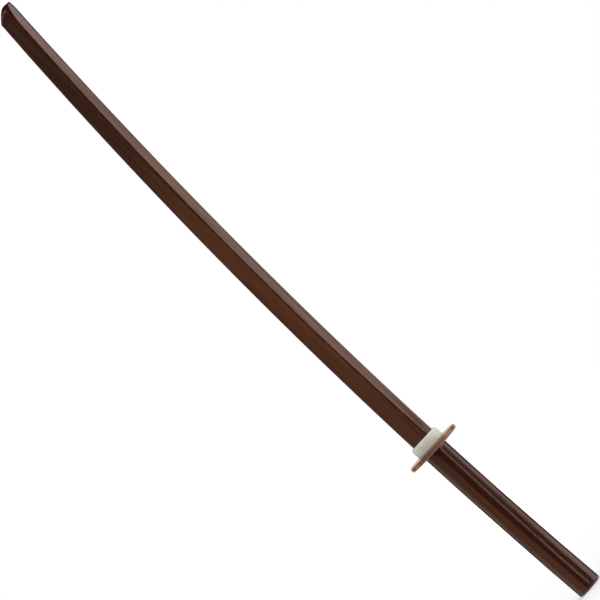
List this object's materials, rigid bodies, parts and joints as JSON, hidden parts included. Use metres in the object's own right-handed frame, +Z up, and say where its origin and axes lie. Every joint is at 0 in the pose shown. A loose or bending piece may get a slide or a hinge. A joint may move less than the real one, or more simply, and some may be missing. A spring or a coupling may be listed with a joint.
{
  "type": "wooden practice sword",
  "caption": "Curved one-piece wooden practice sword with an oval grip, ridged blade and blunt tip, a round slip-on guard and an oval rubber ring that holds the guard on its seat.",
  "frame": {"origin": "centre of the flat butt face at the end of the grip", "axes": "+Z up the grip towards the tip, +X towards the back of the blade, -X towards its edge, Y through its thickness"},
  "size_m": [0.1203, 0.078, 1.0119],
  "materials": {
    "stained_wood": "dark red-brown stain under semi-gloss lacquer",
    "guard_plastic": "satin mid-brown moulded plastic",
    "ring_rubber": "matte, off-white"
  },
  "bodies": {
    "sword": {"sword_body": "stained_wood"},
    "guard": {"guard": "guard_plastic"},
    "stopper": {"stopper_ring": "ring_rubber"}
  },
  "joints": [
    {"name": "guard_slide", "type": "hinge", "parent": "sword", "child": "guard", "pos_m": [7.03, 0, 0], "axis": [0, 1, 0], "range_deg": [0, 5.6]},
    {"name": "ring_slide", "type": "hinge", "parent": "guard", "child": "stopper", "pos_m": [7.03, 0, 0], "axis": [0, 1, 0], "range_deg": [0, 0.3]}
  ]
}
